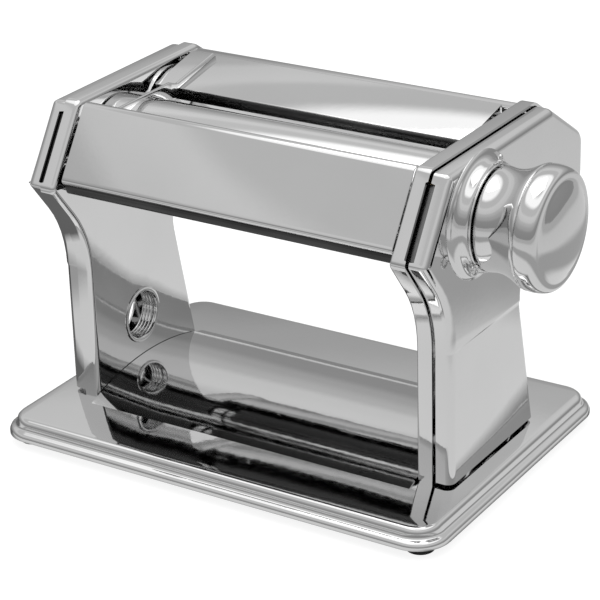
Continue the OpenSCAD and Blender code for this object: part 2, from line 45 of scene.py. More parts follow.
NEAR = 1e-6


# ---- stage: camera, floor and lights ----------------------------------------

def place_camera():
    data = bpy.data.cameras.new("studio_camera")
    data.sensor_width = 36
    data.lens = 141.75
    data.clip_start = 0.05
    data.clip_end = 20
    cam = bpy.data.objects.new("studio_camera", data)
    bpy.context.scene.collection.objects.link(cam)
    turn, tilt, roll = (math.radians(a) for a in (32.64343, 24.06655, -1.63144))
    back = Vector((math.sin(turn) * math.cos(tilt), -math.cos(turn) * math.cos(tilt), math.sin(tilt)))
    level = Vector((math.cos(turn), math.sin(turn), 0))
    upright = back.cross(level)
    across = math.cos(roll) * level + math.sin(roll) * upright
    up = math.cos(roll) * upright - math.sin(roll) * level
    place = Matrix((across, up, back)).transposed().to_4x4()
    place.translation = Vector((472.49, -735.24, 448.60)) * MM
    cam.matrix_world = place
    bpy.context.scene.camera = cam


def link(tree, a, b):
    tree.links.new(a, b)


def ramp(tree, stops, interpolation="EASE"):
    node = tree.nodes.new("ShaderNodeValToRGB")
    node.color_ramp.interpolation = interpolation
    while len(node.color_ramp.elements) > 1:
        node.color_ramp.elements.remove(node.color_ramp.elements[-1])
    for i, (at, level) in enumerate(stops):
        stop = node.color_ramp.elements[0] if i == 0 else node.color_ramp.elements.new(at)
        stop.position = at
        stop.color = (level, level, level, 1)
    return node


def light_room():
    """A grey room: dim at table height, brighter towards the ceiling's soft light."""
    world = bpy.data.worlds.new("studio")
    bpy.context.scene.world = world
    world.use_nodes = True
    tree = world.node_tree
    back = tree.nodes["Background"]
    where = tree.nodes.new("ShaderNodeTexCoord")
    split = tree.nodes.new("ShaderNodeSeparateXYZ")
    half = tree.nodes.new("ShaderNodeMath")
    half.operation = "MULTIPLY_ADD"
    half.inputs[1].default_value = 0.5
    half.inputs[2].default_value = 0.5
    link(tree, where.outputs["Generated"], split.inputs[0])
    link(tree, split.outputs["Z"], half.inputs[0])
    room = ramp(tree, ROOM_LEVELS)
    link(tree, half.outputs[0], room.inputs[0])
    link(tree, room.outputs[0], back.inputs[0])
    back.inputs[1].default_value = 1.0


# height of the direction, from 0 straight down to 1 straight up, and its brightness
ROOM_LEVELS = [
    (0.0, 0.6), (0.42, 0.45), (0.5, 0.3), (0.58, 0.32), (0.64, 0.44), (0.70, 0.55), (0.735, 0.7),
    (0.79, 0.74), (0.82, 0.62), (0.875, 0.62), (0.92, 1.3), (0.96, 1.3), (1.0, 0.6)
]


def soft_light(name, at, aim, size, watts):
    data = bpy.data.lights.new(name, "AREA")
    data.shape = "RECTANGLE"
    data.size, data.size_y = size
    data.energy = watts
    lamp = bpy.data.objects.new(name, data)
    bpy.context.scene.collection.objects.link(lamp)
    lamp.location = at
    lamp.rotation_mode = "QUATERNION"
    lamp.rotation_quaternion = (Vector(aim) - Vector(at)).to_track_quat("-Z", "Y")
    return lamp


def lay_floor():
    """A pale table that the camera sees evenly white; in reflections and for bounced light it glows with a
    painted pool of light, brighter near the machine, and a painted shadow of the machine.
    """
    bpy.ops.mesh.primitive_plane_add(size=6, location=(0, 0, 0))
    floor = bpy.context.object
    floor.name = "table_top"
    mat = bpy.data.materials.new("table_white_with_painted_glow")
    mat.use_nodes = True
    tree = mat.node_tree
    tree.nodes.clear()
    out = tree.nodes.new("ShaderNodeOutputMaterial")
    where = tree.nodes.new("ShaderNodeTexCoord")
    far = tree.nodes.new("ShaderNodeVectorMath")
    far.operation = "LENGTH"
    link(tree, where.outputs["Object"], far.inputs[0])
    # painted light: the reflected glow is brighter near the machine, with a darker ring about 0.24 to 0.31 m
    # out
    painted_light_pool = ramp(tree, [
        (0.0, 0.82), (0.19, 0.76), (0.235, 0.42), (0.31, 0.42), (0.37, 0.68), (0.6, 0.66), (1.0, 0.5)
    ])
    link(tree, far.outputs["Value"], painted_light_pool.inputs[0])
    split = tree.nodes.new("ShaderNodeSeparateXYZ")
    link(tree, where.outputs["Object"], split.inputs[0])
    edges = []
    # painted shadow of the machine: the reflected glow drops to a fifth under the base and to its left, and
    # rises back to full past its right side, in front of it and behind it
    for axis, start, end in (("X", 0.105, 0.114), ("Y", -0.068, -0.084), ("Y", 0.08, 0.1)):
        edge = tree.nodes.new("ShaderNodeMapRange")
        edge.inputs["From Min"].default_value = start
        edge.inputs["From Max"].default_value = end
        edge.inputs["To Min"].default_value = 0.2
        link(tree, split.outputs[axis], edge.inputs["Value"])
        edges.append(edge)
    shade = edges[0]
    for edge in edges[1:]:
        most = tree.nodes.new("ShaderNodeMath")
        most.operation = "MAXIMUM"
        link(tree, shade.outputs[0], most.inputs[0])
        link(tree, edge.outputs[0], most.inputs[1])
        shade = most
    # painted glow: the table glows for reflections and bounced light, carrying the painted pool and shadow;
    # camera rays get the even white instead
    painted_glow = tree.nodes.new("ShaderNodeEmission")
    link(tree, painted_light_pool.outputs[0], painted_glow.inputs[0])
    link(tree, shade.outputs[0], painted_glow.inputs[1])
    white = tree.nodes.new("ShaderNodeEmission")
    white.inputs[0].default_value = (1, 1, 1, 1)
    white.inputs[1].default_value = 0.86
    paper = tree.nodes.new("ShaderNodeBsdfDiffuse")
    paper.inputs[0].default_value = (0.3, 0.3, 0.3, 1)
    lit = tree.nodes.new("ShaderNodeAddShader")
    link(tree, white.outputs[0], lit.inputs[0])
    link(tree, paper.outputs[0], lit.inputs[1])
    path = tree.nodes.new("ShaderNodeLightPath")
    mix = tree.nodes.new("ShaderNodeMixShader")
    link(tree, path.outputs["Is Camera Ray"], mix.inputs[0])
    link(tree, painted_glow.outputs[0], mix.inputs[1])
    link(tree, lit.outputs[0], mix.inputs[2])
    link(tree, mix.outputs[0], out.inputs[0])
    floor.data.materials.append(mat)


# ---- finishes ----------------------------------------------------------------

def finish_nodes(name):
    mat = bpy.data.materials.new(name)
    mat.use_nodes = True
    tree = mat.node_tree
    shader = tree.nodes["Principled BSDF"]
    where = tree.nodes.new("ShaderNodeTexCoord")
    return mat, tree, shader, where


def noise(tree, where, scale, stretch=(1, 1, 1), detail=2.0, rough=0.5):
    fit = tree.nodes.new("ShaderNodeMapping")
    fit.inputs["Scale"].default_value = stretch
    tex = tree.nodes.new("ShaderNodeTexNoise")
    tex.inputs["Scale"].default_value = scale
    tex.inputs["Detail"].default_value = detail
    tex.inputs["Roughness"].default_value = rough
    link(tree, where.outputs["Object"], fit.inputs[0])
    link(tree, fit.outputs[0], tex.inputs["Vector"])
    return tex


def spread(tree, source, low, high, start=0.35, end=0.65):
    node = tree.nodes.new("ShaderNodeMapRange")
    node.inputs["From Min"].default_value = start
    node.inputs["From Max"].default_value = end
    node.inputs["To Min"].default_value = low
    node.inputs["To Max"].default_value = high
    link(tree, source.outputs[0], node.inputs["Value"])
    return node


def bump(tree, source, strength, distance, below=None):
    node = tree.nodes.new("ShaderNodeBump")
    node.inputs["Strength"].default_value = strength
    node.inputs["Distance"].default_value = distance
    link(tree, source.outputs[0], node.inputs["Height"])
    if below is not None:
        link(tree, below.outputs[0], node.inputs["Normal"])
    return node


def steel(name, level, rough, wave=0.1, grain=(1, 1, 1), grain_depth=0.05):
    """Polished sheet: cloudy polish marks, faint grain and the slight waves of pressed metal."""
    mat, tree, shader, where = finish_nodes(name)
    shader.inputs["Metallic"].default_value = 1.0
    clouds = noise(tree, where, 28, detail=4)
    tint = tree.nodes.new("ShaderNodeMix")
    tint.data_type = "RGBA"
    tint.inputs[6].default_value = (level * 0.95, level * 0.95, level * 0.95, 1)
    tint.inputs[7].default_value = (level * 1.03, level * 1.03, level * 1.03, 1)
    link(tree, clouds.outputs[0], tint.inputs[0])
    link(tree, tint.outputs[2], shader.inputs["Base Color"])
    streaks = noise(tree, where, 320, stretch=grain, detail=3)
    polish = spread(tree, streaks, rough * 0.75, rough * 1.4)
    link(tree, polish.outputs[0], shader.inputs["Roughness"])
    sheet = noise(tree, where, 14, detail=1)
    waves = bump(tree, sheet, wave, 0.004)
    lines = bump(tree, streaks, grain_depth, 0.0002, waves)
    link(tree, lines.outputs[0], shader.inputs["Normal"])
    return mat


def rubber(name):
    mat, tree, shader, where = finish_nodes(name)
    shader.inputs["Roughness"].default_value = 0.6
    dust = noise(tree, where, 220, detail=5)
    shade = ramp(tree, [(0.3, 0.012), (0.7, 0.035)])
    link(tree, dust.outputs[0], shade.inputs[0])
    link(tree, shade.outputs[0], shader.inputs["Base Color"])
    skin = bump(tree, dust, 0.3, 0.0003)
    link(tree, skin.outputs[0], shader.inputs["Normal"])
    return mat


def brass(name):
    mat, tree, shader, where = finish_nodes(name)
    shader.inputs["Metallic"].default_value = 1.0
    worn = noise(tree, where, 160, stretch=(6, 1, 1), detail=4)
    tint = tree.nodes.new("ShaderNodeMix")
    tint.data_type = "RGBA"
    tint.inputs[6].default_value = (0.5, 0.36, 0.14, 1)
    tint.inputs[7].default_value = (0.68, 0.5, 0.22, 1)
    link(tree, worn.outputs[0], tint.inputs[0])
    link(tree, tint.outputs[2], shader.inputs["Base Color"])
    polish = spread(tree, worn, 0.25, 0.45)
    link(tree, polish.outputs[0], shader.inputs["Roughness"])
    return mat


def dark_steel(name):
    mat, tree, shader, where = finish_nodes(name)
    shader.inputs["Metallic"].default_value = 1.0
    film = noise(tree, where, 60, stretch=(0.3, 1, 1), detail=4)
    # near-black colour; on the under fold, the rear guide lip and the left cutter guide it serves as painted
    # shade
    shade = ramp(tree, [(0.3, 0.05), (0.7, 0.09)])
    link(tree, film.outputs[0], shade.inputs[0])
    link(tree, shade.outputs[0], shader.inputs["Base Color"])
    polish = spread(tree, film, 0.2, 0.35)
    link(tree, polish.outputs[0], shader.inputs["Roughness"])
    return mat


FINISHES = {
    "polished_sheet": steel("polished_sheet", 0.72, 0.05),
    "roller_steel": steel("roller_steel", 0.8, 0.1, wave=0.02, grain=(0.05, 1, 1), grain_depth=0.1),
    "plain_steel": steel("plain_steel", 0.22, 0.22, wave=0.0, grain=(4, 1, 1), grain_depth=0.2),
    "gear_steel": steel("gear_steel", 0.4, 0.3, wave=0.0, grain=(4, 1, 1), grain_depth=0.2),
    "dark_steel": dark_steel("dark_steel"),
    "bush_brass": brass("bush_brass"),
    "foot_rubber": rubber("foot_rubber"),
}


def dress(piece, slot):
    piece.data.materials.clear()
    piece.data.materials.append(FINISHES[slot])


# ---- hand work -------------------------------------------------------------------

def object_mode():
    if bpy.context.mode != "OBJECT":
        bpy.ops.object.mode_set(mode="OBJECT")


def start_point(name, at):
    """A single vertex in edit mode, ready to be drawn out into a profile."""
    object_mode()
    bpy.ops.object.select_all(action="DESELECT")
    bpy.ops.mesh.primitive_plane_add(size=1)
    piece = bpy.context.object
    piece.name = name
    piece.data.name = name
    bpy.ops.object.mode_set(mode="EDIT")
    bpy.ops.mesh.select_all(action="SELECT")
    bpy.ops.mesh.merge(type="CENTER")
    bpy.ops.transform.translate(value=at)
    return piece


def draw_profile(name, points, closed=False):
    """The points joined by edges, drawn one stroke after another."""
    piece = start_point(name, points[0])
    for a, b in zip(points, points[1:]):
        bpy.ops.mesh.extrude_vertices_move(TRANSFORM_OT_translate={"value": Vector(b) - Vector(a)})
    bpy.ops.mesh.select_all(action="SELECT")
    if closed:
        bpy.ops.mesh.edge_face_add()
    return piece


def side_points(line, x):
    return [(x * MM, y * MM, z * MM) for y, z in line]


def pick(piece, kind, test):
    """Selects the vertices, edges or faces for which test(element) is true."""
    bpy.ops.mesh.select_mode(type=kind)
    bpy.ops.mesh.select_all(action="DESELECT")
    mesh = bmesh.from_edit_mesh(piece.data)
    group = {"VERT": mesh.verts, "EDGE": mesh.edges, "FACE": mesh.faces}[kind]
    for item in group:
        if test(item):
            item.select_set(True)
    mesh.select_flush_mode()
    bmesh.update_edit_mesh(piece.data)


def close_up(piece):
    """Merges doubles and turns all faces outwards."""
    bpy.ops.mesh.select_mode(type="VERT")
    bpy.ops.mesh.select_all(action="SELECT")
    bpy.ops.mesh.remove_doubles(threshold=0.00002)
    bpy.ops.mesh.normals_make_consistent(inside=False)


def modifier(piece, kind, **values):
    object_mode()
    bpy.context.view_layer.objects.active = piece
    mod = piece.modifiers.new(kind.lower(), kind)
    for key, value in values.items():
        setattr(mod, key, value)
    bpy.ops.object.modifier_apply(modifier=mod.name)


def smooth(piece, degrees=40):
    object_mode()
    bpy.ops.object.select_all(action="DESELECT")
    piece.select_set(True)
    bpy.context.view_layer.objects.active = piece
    bpy.ops.object.shade_smooth_by_angle(angle=math.radians(degrees))


def settle(piece, slot, body, *nodes):
    """Brings the piece's place into its mesh and hands it to the machine."""
    object_mode()
    bpy.ops.object.select_all(action="DESELECT")
    piece.select_set(True)
    bpy.context.view_layer.objects.active = piece
    bpy.ops.object.transform_apply(location=True, rotation=True, scale=True)
    dress(piece, slot)
    if nodes:
        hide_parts(*nodes)
    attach(piece, body)
    return piece


def turned(name, profile, centre, steps=96):
    """A profile of (radius, x) pairs spun round an axis along X through centre (y, z)."""
    cy, cz = centre
    piece = draw_profile(name, [(x * MM, cy * MM, (cz + r) * MM) for r, x in profile])
    bpy.ops.mesh.spin(
        steps=steps, angle=2 * math.pi, center=(0, cy * MM, cz * MM), axis=(1, 0, 0),
        dupli=False, use_auto_merge=True
    )
    close_up(piece)
    return piece


def curve_through(corners, steps=6):
    """Corner list (a, b, radius) of an open line, its inner corners rounded."""
    points = [Vector(corners[0][:2])]
    for before, here, after in zip(corners, corners[1:], corners[2:]):
        points += arc_at(before, here, after, steps)
    return points + [Vector(corners[-1][:2])]


def arc_at(before, here, after, steps=6):
    a, b, c = (Vector(p[:2]) for p in (before, here, after))
    radius = here[2]
    if radius <= 0:
        return [b]
    u, v = (a - b).normalized(), (c - b).normalized()
    half = u.angle(v) / 2
    middle = b + (u + v).normalized() * radius / math.sin(half)
    start = b + u * radius / math.tan(half) - middle
    end = b + v * radius / math.tan(half) - middle
    first = math.atan2(start.y, start.x)
    sweep = math.atan2(end.y, end.x) - first
    sweep = (sweep + math.pi) % (2 * math.pi) - math.pi
    return [
        middle + radius * Vector((math.cos(first + sweep * i / steps), math.sin(first + sweep * i / steps)))
        for i in range(steps + 1)
    ]


def loop_through(corners, steps=6):
    n = len(corners)
    points = []
    for i in range(n):
        points += arc_at(corners[i - 1], corners[i], corners[(i + 1) % n], steps)
    return points


def drawn_in(corners, by):
    """A clockwise outline moved inwards, its corner radii kept concentric."""
    n = len(corners)
    moved = []
    for i in range(n):
        a, b, c = (Vector(p[:2]) for p in (corners[i - 1], corners[i], corners[(i + 1) % n]))
        u, v = (a - b).normalized(), (c - b).normalized()
        turn = (b.x - a.x) * (c.y - b.y) - (b.y - a.y) * (c.x - b.x)
        side = 1 if turn < 0 else -1
        p = b + side * (u + v).normalized() * by / math.sin(u.angle(v) / 2)
        moved.append((p.x, p.y, max(0.3, corners[i][2] - side * by)))
    return moved


def sheet_along(name, corners, x0, x1, thickness, bevel=0.25, inside=1):
    """A folded sheet that runs along X between two ends."""
    line = curve_through(corners)
    piece = draw_profile(name, side_points(line, x0))
    bpy.ops.mesh.extrude_region_move(TRANSFORM_OT_translate={"value": ((x1 - x0) * MM, 0, 0)})
    object_mode()
    modifier(piece, "SOLIDIFY", thickness=thickness * MM, offset=inside)
    modifier(piece, "BEVEL", width=bevel * MM, segments=2, limit_method="ANGLE", angle_limit=math.radians(50))
    smooth(piece)
    return piece


# ---- sizes of the machine, in millimetres ------------------------------------------

PLATFORM = 11.7
BASE_WIDTH, BASE_DEPTH, BASE_CORNER = 205, 145, 14
SHEET = 0.8
PANEL_X = 76.0
FLANGE_X = 82.7
COVER_EDGE = 83.4
COVER_X = 90.8
COVER_HALF = 72.6
REAR_COVER_HALF = 75.8
FRONT_LEFT, FRONT_RIGHT = -73.2, 76.4
ROLLER_R = 20.0
ROLLER_HALF = 75.2
AXIS_Z = 118.2
DIAL_Y = -14.5
FRONT_Y = -13.2
REAR_Y = 27.2
CLAMP_AT = (-3.0, 36.6)
CLAMP_R = 10.0

# side outline (y, z, radius), clockwise; it runs on below the platform and is cut off there
OUTLINE = [
    (-36.5, 3.7, 0.5),
    (-36.5, 84, 45),
    (-57, 110.5, 3),
    (-36.3, 142, 4),
    (47, 142, 6),
    (76, 123, 9),
    (76, 98, 12),
    (24, 82, 14),
    (24, 68, 30),
    (38.3, 3.7, 0.5),
]
SLANT_FOOT = Vector((-57, 110.5))
SLANT = (Vector((-36.3, 142)) - SLANT_FOOT).normalized()


def with_notch(corners, inset):
    """The outline with four more corners on the slanted front edge, for the cutter channel."""
    inward = Vector((SLANT.y, -SLANT.x)) * inset
    stops = [SLANT_FOOT + SLANT * s + inward for s in (3.0, 3.3, 32.6, 33.0)]
    moved = drawn_in(corners, inset) if inset else list(corners)
    return moved[:3] + [(p.x, p.y, 0) for p in stops] + moved[3:]


def cutter(at, radius, x0, x1, steps=64):
    object_mode()
    bpy.ops.object.select_all(action="DESELECT")
    bpy.ops.mesh.primitive_cylinder_add(
        vertices=steps, radius=radius * MM, depth=abs(x1 - x0) * MM,
        location=((x0 + x1) / 2 * MM, at[0] * MM, at[1] * MM), rotation=(0, math.pi / 2, 0),
    )
    return bpy.context.object


def bore(piece, at, radius, x0, x1):
    tool = cutter(at, radius, x0, x1)
    modifier(piece, "BOOLEAN", operation="DIFFERENCE", object=tool, solver="EXACT")
    bpy.data.objects.remove(tool, do_unlink=True)


def pressed_side(name, side, corners, face_x, edge_x, notch, sheet, bend, holes, cut_z, crease=None):
    """A pressed side: a panel in the outline's shape with a flange all round, open at edge_x.

    It is made on the right, and turned over at the end for the left.
    """
    line = [(p[0], p[1]) for p in loop_through(corners)]
    piece = draw_profile(name, side_points(line, face_x), closed=True)
    bpy.ops.mesh.extrude_region_move(
        TRANSFORM_OT_translate={"value": ((edge_x - face_x) * MM, 0, 0)}
    )
    bpy.ops.mesh.delete(type="ONLY_FACE")
    face, edge = face_x * MM, edge_x * MM
    inward = Vector((SLANT.y, -SLANT.x))

    def on_notch(v):
        at = Vector((v.co.y / MM, v.co.z / MM)) - SLANT_FOOT
        along, deep = at.dot(SLANT), at.dot(inward)
        return abs(v.co.x - edge) < NEAR and 3.2 < along < 32.8 and -1 < deep < 3

    pick(piece, "VERT", on_notch)
    bpy.ops.transform.translate(value=(notch * MM, 0, 0))
    pick(piece, "EDGE", lambda e: all(abs(v.co.x - face) < NEAR for v in e.verts))
    bpy.ops.mesh.bevel(offset=bend * MM, segments=6, affect="EDGES", clamp_overlap=False)
    close_up(piece)
    bpy.ops.mesh.select_all(action="SELECT")
    bpy.ops.mesh.bisect(plane_co=(0, 0, cut_z * MM), plane_no=(0, 0, 1), clear_inner=True)
    if crease:
        for step in (0.9, 0.3, -0.3, -0.9):
            bpy.ops.mesh.select_all(action="SELECT")
            bpy.ops.mesh.bisect(plane_co=(0, 0, (crease[0] + step) * MM), plane_no=(0, 0, 1))
        for below, share in ((0.5, 0.2), (-0.1, 0.6), (-0.7, 0.2)):
            pick(piece, "VERT", lambda v: v.co.z < (crease[0] + below) * MM
                 and abs(v.co.x) > (face_x - 3) * MM)
            bpy.ops.transform.translate(value=(-crease[1] * share * MM, 0, 0))
    modifier(piece, "SOLIDIFY", thickness=sheet * MM, offset=-1)
    for at, radius in holes:
        bore(piece, at, radius, face_x - 3, face_x + 3)
    if side < 0:
        bpy.ops.object.select_all(action="DESELECT")
        piece.select_set(True)
        bpy.context.view_layer.objects.active = piece
        bpy.ops.object.mode_set(mode="EDIT")
        bpy.ops.mesh.select_all(action="SELECT")
        bpy.ops.transform.resize(value=(-1, 1, 1), center_override=(0, 0, 0))
        bpy.ops.mesh.flip_normals()
        object_mode()
    smooth(piece, 30)
    return piece


RODS = [(-40.5, 107), (53.5, 126.5), (60, 104)]
SCRAPER_RODS = [(-35, 104.5), (46.5, 104.5)]


def make_side_frame(side, name, node):
    holes = [(at, 2.5) for at in RODS] + [(at, 1.5) for at in SCRAPER_RODS] + [((REAR_Y, AXIS_Z), 9.5)]
    if side < 0:
        holes += [(CLAMP_AT, CLAMP_R + 1), ((DIAL_Y, AXIS_Z), 12.0)]
    else:
        holes += [((DIAL_Y, AXIS_Z), 9.5)]
    bend = 2.2 if side < 0 else 1.25
    piece = pressed_side(
        name, side, with_notch(OUTLINE, 0), PANEL_X, FLANGE_X, -0.8, 1.2, bend, holes, PLATFORM
    )
    settle(piece, "polished_sheet", "machine_body", node)


def make_side_cover(side, name, node):
    if side < 0:
        holes = [(CLAMP_AT, CLAMP_R + 3.5), ((REAR_Y, AXIS_Z), 9.0)]
    else:
        holes = [((DIAL_Y, AXIS_Z), 10.0)]
    piece = pressed_side(
        name, side, with_notch(OUTLINE, 1.5), COVER_X, COVER_EDGE, 1.8, 0.8, 3.4, holes, PLATFORM + 1.4,
        crease=(69.0, 0.45),
    )
    settle(piece, "polished_sheet", "machine_body", node)


def make_front_cover():
    piece = sheet_along("front_cover_sheet", [
        (-33.2, 140.2, 0), (-36.0, 142.3, 2.2), (-53.2, 116.3, 3), (-54.2, 114.7, 1), (-52.4, 113.8, 0)
    ], FRONT_LEFT, FRONT_RIGHT, SHEET)
    settle(piece, "polished_sheet", "machine_body", "front_cover")


def make_under_strip():
    piece = sheet_along("front_under_fold", [
        (-46.5, 117.5, 0), (-51.8, 112.4, 1.5), (-51.2, 109.5, 1.2), (-45.5, 109.2, 1.2), (-44.2, 112, 0)
    ], FRONT_LEFT, FRONT_RIGHT, SHEET)
    # painted shade: the fold under the head is given the near-black finish, for the shadow beneath the head
    settle(piece, "dark_steel", "machine_body", "front_under_strip")


def make_rear_sheets():
    guide = sheet_along("rear_guide_sheet", [
        (10, 136.2, 0), (38.4, 142.3, 1), (39.6, 136.9, 0)
    ], -COVER_HALF, COVER_HALF, SHEET)
    settle(guide, "polished_sheet", "machine_body", "rear_guide")
    # painted shadow: a near-black strip under the guide's lower edge, standing for the deep shade of the nip
    # between the rollers
    painted_shadow_lip = sheet_along("rear_guide_painted_shadow_lip", [(10.6, 135.8, 0), (11.4, 131.6, 0)], -COVER_HALF, COVER_HALF, 0.6)
    settle(painted_shadow_lip, "dark_steel", "machine_body")
    cover = sheet_along("rear_cover_sheet", [
        (39.6, 140.7, 0), (46.5, 140.7, 5), (74.6, 122.3, 8), (74.6, 99, 11), (40, 88.4, 0)
    ], -REAR_COVER_HALF, REAR_COVER_HALF, SHEET)
    settle(cover, "polished_sheet", "machine_body", "rear_cover")


# base rim, from the outside in: (inset, height) of each round of the pressed steps
RIM = [(0.0, 4.0), (0.0, 5.2), (0.5, 6.4), (1.3, 7.0), (2.2, 7.2), (2.8, 7.6), (3.1, 8.3), (3.3, 9.4),
       (3.7, 10.6), (4.5, 11.4), (5.6, 11.7)]


def make_base():
    object_mode()
    bpy.ops.object.select_all(action="DESELECT")
    bpy.ops.mesh.primitive_plane_add(size=1, location=(0, 0, RIM[-1][1] * MM))
    piece = bpy.context.object
    piece.name = piece.data.name = "base_pressing"
    bpy.ops.object.mode_set(mode="EDIT")
    width, depth = BASE_WIDTH - 2 * RIM[-1][0], BASE_DEPTH - 2 * RIM[-1][0]
    bpy.ops.mesh.select_all(action="SELECT")
    bpy.ops.transform.resize(value=(width * MM, depth * MM, 1))
    bpy.ops.mesh.bevel(
        offset=(BASE_CORNER - RIM[-1][0]) * MM, segments=12, affect="VERTICES",
        profile=0.5, clamp_overlap=False
    )
    pick(piece, "FACE", lambda f: True)
    inner = RIM[-1]
    for outer in reversed(RIM[:-1]):
        pick(piece, "EDGE", lambda e: e.is_boundary)
        rise = (outer[1] - inner[1]) * MM
        bpy.ops.mesh.extrude_edges_move(TRANSFORM_OT_translate={"value": (0, 0, rise)})
        grow = inner[0] - outer[0]
        if grow:
            spread_rim(piece, grow, outer[0])
        inner = outer
    close_up(piece)
    object_mode()
    modifier(piece, "SOLIDIFY", thickness=0.9 * MM, offset=-1)
    smooth(piece, 60)
    settle(piece, "polished_sheet", "machine_body", "base_plate")


def spread_rim(piece, grow, inset):
    """Moves the picked rim outwards by the same amount all round, corner arcs included."""
    mesh = bmesh.from_edit_mesh(piece.data)
    cx, cy = (BASE_WIDTH / 2 - BASE_CORNER) * MM, (BASE_DEPTH / 2 - BASE_CORNER) * MM
    for v in mesh.verts:
        if v.select:
            corner = Vector((math.copysign(cx, v.co.x), math.copysign(cy, v.co.y)))
            off = Vector((v.co.x, v.co.y)) - corner
            if abs(v.co.x) <= cx + NEAR:
                off.x = 0
            if abs(v.co.y) <= cy + NEAR:
                off.y = 0
            out = off.normalized() * grow * MM
            v.co.x += out.x
            v.co.y += out.y
    bmesh.update_edit_mesh(piece.data)


BRIDGE_R = 122.7
BRIDGE_TOP = PLATFORM + 7.1


def make_bridge():
    low = BRIDGE_TOP - BRIDGE_R
    half = math.acos((PLATFORM - low) / BRIDGE_R)
    line = []
    for i in range(49):
        a = -half + 2 * half * i / 48
        line.append((-1 + BRIDGE_R * math.sin(a), low + BRIDGE_R * math.cos(a)))
    piece = draw_profile("tray_sheet", side_points(line, -PANEL_X + 0.3))
    bpy.ops.mesh.extrude_region_move(TRANSFORM_OT_translate={"value": ((2 * PANEL_X - 0.6) * MM, 0, 0)})
    object_mode()
    modifier(piece, "SOLIDIFY", thickness=SHEET * MM, offset=1)
    smooth(piece, 30)
    settle(piece, "polished_sheet", "machine_body", "bridge_cover")


NECK_X = 98.4
RIM_X = NECK_X + 18.1
BOSS_X = 97.0


def make_dial():
    axis = (DIAL_Y, AXIS_Z)
    shell = turned("dial_shell_pressing", [
        (18.4, NECK_X), (19.2, NECK_X), (19.8, NECK_X + 0.3), (20.1, NECK_X + 0.9), (20.05, NECK_X + 1.8),
        (19.85, NECK_X + 3), (19.7, NECK_X + 4.6), (19.75, NECK_X + 6.4), (20.05, NECK_X + 8.4),
        (20.7, NECK_X + 10.6), (21.6, NECK_X + 12.8), (22.6, NECK_X + 14.7), (23.4, NECK_X + 16.2),
        (23.85, NECK_X + 17.3), (23.95, RIM_X - 0.3), (23.75, RIM_X), (23.2, RIM_X), (23.0, RIM_X - 1),
        (21.8, NECK_X + 15.2), (20.4, NECK_X + 12.6), (19.2, NECK_X + 9.6), (18.4, NECK_X + 7.2),
        (18.4, NECK_X)
    ], axis)
    smooth(shell, 50)
    settle(shell, "polished_sheet", "dial_body", "dial_shell")
    face = turned("dial_cap", [
        (21.8, RIM_X - 0.5), (23.0, RIM_X - 0.5), (23.2, RIM_X), (23.8, RIM_X + 0.2), (24, RIM_X + 0.7),
        (24.1, RIM_X + 2.2), (24.0, RIM_X + 4), (23.7, RIM_X + 5.8), (23.2, RIM_X + 7.2), (22.5, RIM_X + 8.1),
        (21.7, RIM_X + 8.55), (20.9, RIM_X + 8.65), (20.2, RIM_X + 8.6), (19.5, RIM_X + 8.75),
        (18.4, RIM_X + 9.3), (16.5, RIM_X + 10.3), (14, RIM_X + 11.35), (11, RIM_X + 12.2),
        (7.5, RIM_X + 12.8), (4, RIM_X + 13.08), (1.5, RIM_X + 13.16),
        (0, RIM_X + 13.17), (0, RIM_X + 11.8), (9.5, RIM_X + 11),
        (13.5, RIM_X + 9.8), (16.5, RIM_X + 8.5), (19.6, RIM_X + 7.3), (21.8, RIM_X + 6.6),
        (21.8, RIM_X - 0.5)
    ], axis)
    smooth(face, 60)
    settle(face, "polished_sheet", "dial_body", "dial_face")
    boss = turned("dial_boss_pressing", [
        (11, COVER_X), (25, COVER_X), (24.8, COVER_X + 0.5), (23.6, COVER_X + 0.9), (22.4, COVER_X + 1.7),
        (21.7, COVER_X + 3), (21.4, COVER_X + 4.4), (21.2, BOSS_X - 0.9), (20.8, BOSS_X - 0.25),
        (20.1, BOSS_X), (11, BOSS_X), (11, COVER_X)
    ], axis)
    smooth(boss, 50)
    settle(boss, "polished_sheet", "machine_body", "dial_boss")


def make_wire_clip():
    wire = 0.45
    x = (BOSS_X + wire) * MM
    parts = []

    def hoop(y, z, big, thin, segments):
        object_mode()
        bpy.ops.object.select_all(action="DESELECT")
        bpy.ops.mesh.primitive_torus_add(
            location=(x, y * MM, z * MM), rotation=(0, math.pi / 2, 0), major_segments=segments,
            minor_segments=12, major_radius=big * MM, minor_radius=thin * MM
        )
        parts.append(bpy.context.object)

    def from_axis(degrees, radius):
        a = math.radians(degrees)
        return DIAL_Y + radius * math.cos(a), AXIS_Z + radius * math.sin(a)

    hoop(DIAL_Y, AXIS_Z, 20.2, wire, 96)
    eye = from_axis(223, 22)
    hoop(eye[0], eye[1], 2.1, wire + 0.1, 32)
    for radius in (21.2, 23):
        bead = from_axis(80, radius)
        bpy.ops.object.select_all(action="DESELECT")
        bpy.ops.mesh.primitive_uv_sphere_add(
            segments=24, ring_count=16, radius=1.1 * MM, location=(x, bead[0] * MM, bead[1] * MM)
        )
        bpy.ops.object.mode_set(mode="EDIT")
        bpy.ops.transform.resize(value=(0.9, 1, 1.08))
        object_mode()
        parts.append(bpy.context.object)
    bpy.ops.object.select_all(action="DESELECT")
    for part in parts:
        part.select_set(True)
    bpy.context.view_layer.objects.active = parts[0]
    bpy.ops.object.join()
    piece = bpy.context.object
    piece.name = piece.data.name = "dial_wire_ring"
    smooth(piece, 60)
    settle(piece, "polished_sheet", "machine_body", "dial_clip")


